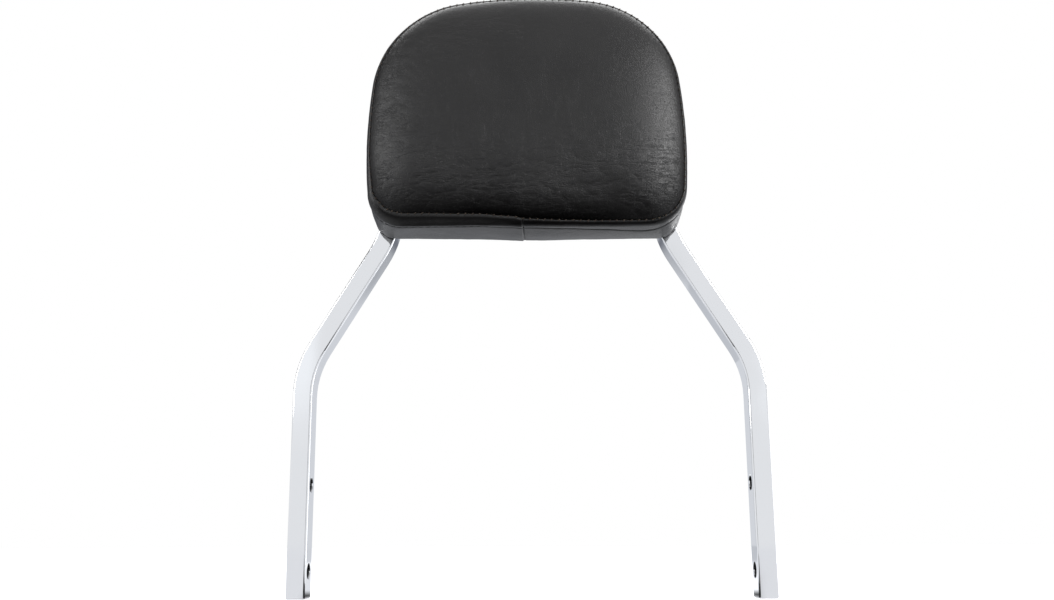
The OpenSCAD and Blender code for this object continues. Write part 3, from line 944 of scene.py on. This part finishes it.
# The colours and shine of the ticks over the seam: near-black thread, lightened to brown as a painted
# highlight
TICK_THREAD_AND_HIGHLIGHT_DARK = (0.045, 0.033, 0.026)
TICK_THREAD_AND_HIGHLIGHT_LIGHT = (0.085, 0.064, 0.050)
TICK_SHINE = 0.3
# The colours and shine of the row's dashes: black thread, painted darker and duller as the shade in the
# stitch holes
DASH_THREAD_AND_SHADE_DARK = (0.0015, 0.0015, 0.0015)
DASH_THREAD_AND_SHADE_LIGHT = (0.004, 0.0035, 0.003)
DASH_SHINE = 0.06


def thread(path, radius):
    """Points and faces of one stitch: a tube along a path that thins to a point at both ends."""
    path = np.array(path, float)
    points, faces = [path[0]], []
    for i in range(1, len(path) - 1):
        ahead = path[i + 1] - path[i - 1]
        ahead = ahead / np.linalg.norm(ahead)
        side = np.cross(ahead, THREAD_TILT)
        side = side / np.linalg.norm(side)
        up = np.cross(side, ahead)
        thick = radius * math.sin(math.pi * i / (len(path) - 1)) ** THREAD_TAPER
        for k in range(THREAD_SIDES):
            angle = 2 * math.pi * k / THREAD_SIDES
            points.append(path[i] + thick * (math.cos(angle) * side + math.sin(angle) * up))
    points.append(path[-1])
    n = THREAD_SIDES
    rings = len(path) - 2
    faces += [(0, 1 + (k + 1) % n, 1 + k) for k in range(n)]
    for r in range(rings - 1):
        a = 1 + r * n
        faces += [(a + k, a + (k + 1) % n, a + n + (k + 1) % n, a + n + k) for k in range(n)]
    a, tip = 1 + (rings - 1) * n, 1 + rings * n
    faces += [(a + k, a + (k + 1) % n, tip) for k in range(n)]
    return points, faces


def sample(line, place):
    """A ring of points, one per outline point, read at a place along the girth."""
    place = place % GIRTH
    where = np.append(along, GIRTH)
    return np.array([np.interp(place, where, np.append(line[:, c], line[0, c])) for c in range(3)])


def make_threads(name, paths, radius, material):
    points, faces = [], []
    for path in paths:
        p, f = thread(path, radius)
        faces += [tuple(len(points) + v for v in face) for face in f]
        points += list(p)
    return dress(mesh_object(name, points, faces), material)


def seam_ticks(count, pitch):
    """The paths of the slanted stitches over the front seam."""
    outer, top, inner = (outline_at(seam_y + back, -seam_inset + out)
                         for out, back in (TICK_OUTER, TICK_TOP, TICK_INNER))
    arch = np.array([0, TICK_ARCH, 0])
    paths = []
    for k in range(count):
        place = (k + 0.5) * pitch + random.uniform(-TICK_PLAY, TICK_PLAY)
        lean = random.uniform(*TICK_LEAN)
        a, b, c = sample(outer, place - lean), sample(top, place), sample(inner, place + lean)
        paths.append([a, (a + b) / 2 - arch, b, (b + c) / 2 - arch, c])
    return paths


def row_dashes(count, pitch):
    """The paths of the straight stitches along the row on the side."""
    low = outline_at(row_y, -ROW_DIP + DASH_END)
    high = outline_at(row_y, -ROW_DIP + DASH_MIDDLE)
    reach = pitch * DASH_REACH
    paths = []
    for k in range(count):
        place = (k + DASH_START) * pitch + random.uniform(-DASH_PLAY, DASH_PLAY)
        middle = [sample(high, place + reach * t) for t in DASH_SPOTS]
        paths.append([sample(low, place)] + middle + [sample(low, place + reach)])
    return paths


def make_stitches():
    random.seed(STITCH_SEED)
    count = round(GIRTH / STITCH_PITCH)
    pitch = GIRTH / count
    # The ticks' thread colour is near-black thread lightened by a painted highlight
    ticks_thread_and_highlight = thread_material("thread_and_painted_highlight", TICK_THREAD_AND_HIGHLIGHT_DARK, TICK_THREAD_AND_HIGHLIGHT_LIGHT, TICK_SHINE)
    make_threads("seam_stitches", seam_ticks(count, pitch), TICK_R, ticks_thread_and_highlight)
    # The dashes are black thread, painted darker as the shade in the stitch holes
    black = thread_material("black_thread_and_painted_shade", DASH_THREAD_AND_SHADE_DARK, DASH_THREAD_AND_SHADE_LIGHT, DASH_SHINE)
    make_threads("top_stitches", row_dashes(count, pitch), DASH_R, black)


# Floor and sky. The camera sees both white. What the chrome and the vinyl mirror has levels of its own, which
# stand for the walls, windows and flags of a studio. Places on the floor are in metres from the object.
FLOOR_GAP = 0.0002
FLOOR_Z = cad_bounds[0].z - FLOOR_GAP
FLOOR_HALF = 12.0
FLOOR_PALE = (0.8, 0.8, 0.8, 1)
FLOOR_GLOW = 0.62
WHITE = (1, 1, 1, 1)
# The dark wedge on the floor in front of the object, between its sides, its back end and its front end
WEDGE_DARK = (0.02, 0.02, 0.02, 1)
WEDGE_SIDE = (0.132, 0.150)
WEDGE_SPREAD = 0.19
WEDGE_BACK = (0.03, 0.16)
WEDGE_FRONT = (-2.6, -3.4)
# The floor's levels in front and behind, brighter behind on the right, and far away on the right and the left
AHEAD_LEVEL = (0.76, 0.77, 0.80)
BEHIND_LEVEL = (0.78, 0.80, 0.84)
BEHIND_RIGHT = (0.0, 0.10)
BEHIND_RIGHT_LEVEL = (1.12, 1.14, 1.18)
DISTANT = (1.2, 1.7)
DISTANT_PART = (0.3, -0.3)
DISTANT_RIGHT_LEVEL = (0.64, 0.66, 0.70)
DISTANT_LEFT_LEVEL = (0.53, 0.55, 0.59)
# The dim walls to both sides behind, on the floor by the slope of the way there and in the sky by the way
DIM_LEVEL = (0.39, 0.405, 0.435)
DIM_SLOPE = (0.2645, 0.297)
DIM_START = 0.115
DIM_NEAREST = 0.1
DIM_FROM = (1.2, 2.5)
DIM_ASIDE = (0.255, 0.285)
DIM_HIGH_LEVEL = (0.17, 0.18, 0.21)
DIM_HIGH_ASIDE = (0.235, 0.262)
DIM_HIGH_UP = (0.03, 0.12)
# The sky's levels by the way that a ray leaves: behind, in front, at the sides from low to high, and on top
BACK_LEVEL = (0.66, 0.68, 0.72)
FRONT_LEVEL = (0.79, 0.80, 0.82)
FRONT_TURN = (0.25, -0.35)
SIDE_ASIDE = (0.55, 0.95)
SIDE_UP = (0.06, 0.28)
SIDE_LOW_LEVEL = (0.80, 0.81, 0.83)
SIDE_HIGH_LEVEL = (0.32, 0.32, 0.33)
TOP_UP = (0.35, 0.9)
TOP_LEVEL = (0.85, 0.85, 0.86)
# A brighter window in front, to both sides of the middle
WINDOW_LEVEL = (0.92, 0.94, 0.97)
WINDOW_ASIDE = (0.193, 0.208)
WINDOW_END_ASIDE = (0.30, 0.24)
WINDOW_UP = (0.07, 0.16)
WINDOW_END_UP = (0.30, 0.22)
# A dark doorway in the middle in front
DOOR_LEVEL = (0.15, 0.15, 0.15)
DOOR_ASIDE = (0.14, 0.08)
DOOR_UP = (0.29, 0.16)
# A black flag at the upper left, whose lower edge falls towards the back
FLAG_LEVEL = (0.01, 0.01, 0.01)
FLAG_ASIDE = (-0.36, -0.46)
FLAG_UP = (0.565, 0.585)
FLAG_END_UP = (0.80, 0.72)
FLAG_FALL = 0.28
FLAG_FALL_FROM = 0.25


def floor_level(n, place, behind):
    """The floor's level for rays that aren't the camera's, from the place where they meet it."""
    x, y = place.outputs[0], place.outputs[1]
    level = n.mix(behind, AHEAD_LEVEL, BEHIND_LEVEL)
    level = n.mix(n.math("MULTIPLY", behind, n.remap(x, *BEHIND_RIGHT)), level, BEHIND_RIGHT_LEVEL)
    distant = n.mix(n.remap(x, *DISTANT_PART), DISTANT_RIGHT_LEVEL, DISTANT_LEFT_LEVEL)
    level = n.mix(n.remap(y, *DISTANT), level, distant)
    aside = n.math("ADD", n.math("ABSOLUTE", x), DIM_START)
    slope = n.math("DIVIDE", aside, n.math("MAXIMUM", y, DIM_NEAREST))
    dim = n.math("MULTIPLY", n.remap(slope, *DIM_SLOPE), n.remap(y, *DIM_FROM))
    return n.mix(dim, level, DIM_LEVEL)


def floor_material():
    material, n = new_material("pale_floor")
    path = n.add("ShaderNodeLightPath")
    place = n.add("ShaderNodeSeparateXYZ", {0: object_place(n)})
    x, y = place.outputs[0], place.outputs[1]
    narrowing = n.math("MULTIPLY", n.math("MINIMUM", y, 0.0), WEDGE_SPREAD)
    sideways = n.remap(n.math("ADD", n.math("ABSOLUTE", x), narrowing), *WEDGE_SIDE)
    behind = n.remap(y, *WEDGE_BACK)
    ahead = n.remap(y, *WEDGE_FRONT)
    lit = n.math("MAXIMUM", sideways, n.math("MAXIMUM", behind, ahead))
    pale = n.add("ShaderNodeBsdfDiffuse", {"Color": FLOOR_PALE})
    glow = n.add("ShaderNodeEmission", {"Color": WHITE, "Strength": FLOOR_GLOW})
    seen = n.add("ShaderNodeAddShader", {0: pale.outputs[0], 1: glow.outputs[0]})
    dark = n.add("ShaderNodeBsdfDiffuse", {"Color": WEDGE_DARK})
    bright = n.add("ShaderNodeEmission", {"Color": floor_level(n, place, behind), "Strength": 1.0})
    mirrored = n.add("ShaderNodeMixShader", {0: lit, 1: dark.outputs[0], 2: bright.outputs[0]})
    by_camera = path.outputs["Is Camera Ray"]
    shader = n.add("ShaderNodeMixShader", {0: by_camera, 1: mirrored.outputs[0], 2: seen.outputs[0]})
    finish_material(n, shader)
    return material


def make_floor():
    mesh = bpy.data.meshes.new("floor")
    corners = [(-1, -1), (1, -1), (1, 1), (-1, 1)]
    mesh.from_pydata([(x * FLOOR_HALF, y * FLOOR_HALF, FLOOR_Z) for x, y in corners], [], [(0, 1, 2, 3)])
    mesh.materials.append(floor_material())
    floor = bpy.data.objects.new("floor", mesh)
    bpy.context.scene.collection.objects.link(floor)


def all_of(n, *shares):
    """The product of several shares."""
    product = shares[0]
    for share in shares[1:]:
        product = n.math("MULTIPLY", product, share)
    return product


def sky_level(n):
    """The sky's level for rays that aren't the camera's, from the way they go."""
    way = n.add("ShaderNodeSeparateXYZ", {0: n.add("ShaderNodeTexCoord").outputs["Generated"]})
    x, y, z = (way.outputs[k] for k in range(3))
    aside = n.math("ABSOLUTE", x)
    back = n.mix(n.remap(aside, *DIM_ASIDE), BACK_LEVEL, DIM_LEVEL)
    back = n.mix(all_of(n, n.remap(z, *DIM_HIGH_UP), n.remap(aside, *DIM_HIGH_ASIDE)), back, DIM_HIGH_LEVEL)
    window = all_of(n, n.remap(aside, *WINDOW_ASIDE), n.remap(aside, *WINDOW_END_ASIDE),
                    n.remap(z, *WINDOW_UP), n.remap(z, *WINDOW_END_UP))
    front = n.remap(y, *FRONT_TURN)
    level = n.mix(front, back, n.mix(window, FRONT_LEVEL, WINDOW_LEVEL))
    side = n.mix(n.remap(z, *SIDE_UP), SIDE_LOW_LEVEL, SIDE_HIGH_LEVEL)
    level = n.mix(n.remap(aside, *SIDE_ASIDE), level, side)
    door = all_of(n, n.remap(aside, *DOOR_ASIDE), front, n.remap(z, *DOOR_UP))
    level = n.mix(door, level, DOOR_LEVEL)
    level = n.mix(n.remap(z, *TOP_UP), level, TOP_LEVEL)
    past = n.math("MAXIMUM", n.math("SUBTRACT", y, FLAG_FALL_FROM), 0.0)
    height = n.math("ADD", z, n.math("MULTIPLY", past, FLAG_FALL))
    flag = all_of(n, n.remap(x, *FLAG_ASIDE), n.remap(height, *FLAG_UP), n.remap(height, *FLAG_END_UP))
    return n.mix(flag, level, FLAG_LEVEL)


def make_sky():
    world = bpy.data.worlds.new("studio")
    world.use_nodes = True
    bpy.context.scene.world = world
    n = Nodes(world.node_tree)
    by_camera = n.add("ShaderNodeLightPath").outputs["Is Camera Ray"]
    light = n.add("ShaderNodeBackground", {"Color": sky_level(n), "Strength": 1.0})
    white = n.add("ShaderNodeBackground", {"Color": WHITE, "Strength": 1.0})
    sky = n.add("ShaderNodeMixShader", {0: by_camera, 1: light.outputs[0], 2: white.outputs[0]})
    n.add("ShaderNodeOutputWorld", {"Surface": sky.outputs[0]})


# Lamps, aimed at the pad's height over the origin: name, place and size in metres, and watts
LAMP_AIM = (0, 0, 0.28)
LAMPS = [
    ("overhead_softbox", (0.0, 0.42, 1.20), (1.2, 0.6), 7.0),
    ("left_softbox", (-0.92, -0.66, 0.52), (0.3, 0.6), 3.8),
    ("right_softbox", (0.82, -0.70, 0.55), (0.45, 0.5), 8.5),
    ("low_back_softbox", (0.95, 1.15, 0.12), (0.9, 0.7), 5.0),
]


def make_lamp(name, at, size, watts):
    data = bpy.data.lights.new(name, "AREA")
    data.shape = "RECTANGLE"
    data.size, data.size_y = size
    data.energy = watts
    lamp = bpy.data.objects.new(name, data)
    bpy.context.scene.collection.objects.link(lamp)
    lamp.location = at
    lamp.rotation_euler = (Vector(LAMP_AIM) - Vector(at)).to_track_quat("-Z", "Y").to_euler()


def dress_cad():
    chrome, zinc, plastic = chrome_material(), zinc_material(), plastic_material()
    finishes = {"chrome": chrome, "zinc": zinc, "base_board": plastic, "vinyl": plastic, "foam": plastic}
    slots = {s["node"]: s["material_slot"] for s in frame["record"]["subparts"]}
    for name, node in frame["nodes"].items():
        node.data.materials.clear()
        node.data.materials.append(finishes[slots[name]])


make_camera()
dress_cad()
vinyl = vinyl_material()
make_boxing(vinyl)
surface = panel_surface()
make_front_panel(vinyl, surface)
make_foam(foam_material(), surface)
make_stitches()
make_floor()
make_sky()
for lamp in LAMPS:
    make_lamp(*lamp)
bpy.context.scene.view_settings.view_transform = "Standard"
